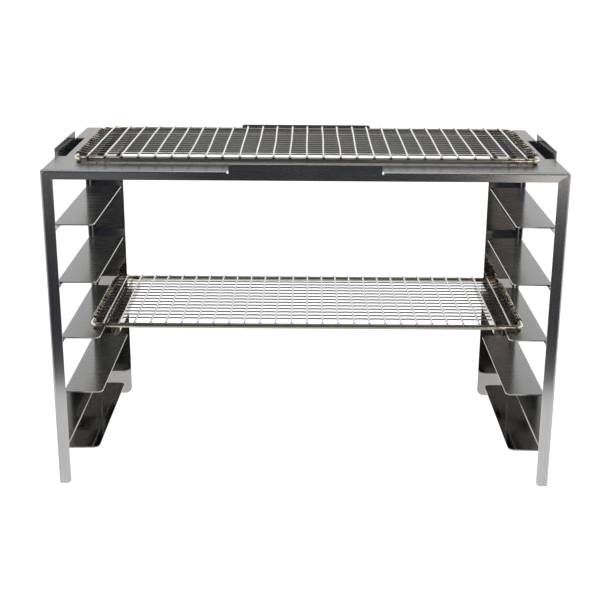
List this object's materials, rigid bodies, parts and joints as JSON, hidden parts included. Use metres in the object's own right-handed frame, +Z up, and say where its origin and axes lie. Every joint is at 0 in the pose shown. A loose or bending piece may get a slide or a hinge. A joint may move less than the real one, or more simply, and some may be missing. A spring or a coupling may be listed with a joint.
{
  "type": "hibachi grill rack",
  "caption": "Folded stainless stand with stepped side shelves and lift-off wire nets, set over a hibachi charcoal box to grill at several heights.",
  "frame": {"origin": "on the floor under the middle of the stand", "axes": "+X to the right seen from the front, -Y the front, +Z up"},
  "size_m": [0.615, 0.3, 0.4106],
  "materials": {
    "stainless_sheet": "fine brushed stainless sheet",
    "net_wire": "bright drawn wire",
    "net_rim": "drawn wire with straw and bronze heat tint",
    "net_stay": "formed strip with bronze heat tint"
  },
  "bodies": {
    "stand": {"deck_front": "stainless_sheet", "deck_rear": "stainless_sheet", "deck_left": "stainless_sheet", "deck_right": "stainless_sheet", "front_rail": "stainless_sheet", "front_tab": "stainless_sheet", "rear_rail": "stainless_sheet", "rear_tab": "stainless_sheet", "left_top_band": "stainless_sheet", "left_tab": "stainless_sheet", "left_front_upright": "stainless_sheet", "left_rear_upright": "stainless_sheet", "left_web_1": "stainless_sheet", "left_web_2": "stainless_sheet", "left_web_3": "stainless_sheet", "left_lower_panel": "stainless_sheet", "left_front_leg": "stainless_sheet", "left_rear_leg": "stainless_sheet", "left_shelf_1": "stainless_sheet", "left_shelf_2": "stainless_sheet", "left_shelf_3": "stainless_sheet", "left_shelf_4": "stainless_sheet", "left_base_shelf": "stainless_sheet", "right_top_band": "stainless_sheet", "right_tab": "stainless_sheet", "right_front_upright": "stainless_sheet", "right_rear_upright": "stainless_sheet", "right_web_1": "stainless_sheet", "right_web_2": "stainless_sheet", "right_web_3": "stainless_sheet", "right_lower_panel": "stainless_sheet", "right_front_leg": "stainless_sheet", "right_rear_leg": "stainless_sheet", "right_shelf_1": "stainless_sheet", "right_shelf_2": "stainless_sheet", "right_shelf_3": "stainless_sheet", "right_shelf_4": "stainless_sheet", "right_base_shelf": "stainless_sheet"},
    "top_net": {"top_net_rim": "net_rim", "top_net_long_wires": "net_wire", "top_net_cross_wires": "net_wire", "top_net_left_stay": "net_stay", "top_net_right_stay": "net_stay"},
    "lower_net": {"lower_net_rim": "net_rim", "lower_net_long_wires": "net_wire", "lower_net_cross_wires": "net_wire", "lower_net_left_stay": "net_stay", "lower_net_right_stay": "net_stay"}
  },
  "joints": [
    {"name": "top_net_lift", "type": "slide", "parent": "stand", "child": "top_net", "axis": [0, 0, 1], "range_m": [0, 0.08]},
    {"name": "lower_net_draw", "type": "slide", "parent": "stand", "child": "lower_net", "axis": [0, -1, 0], "range_m": [0, 0.3]}
  ]
}
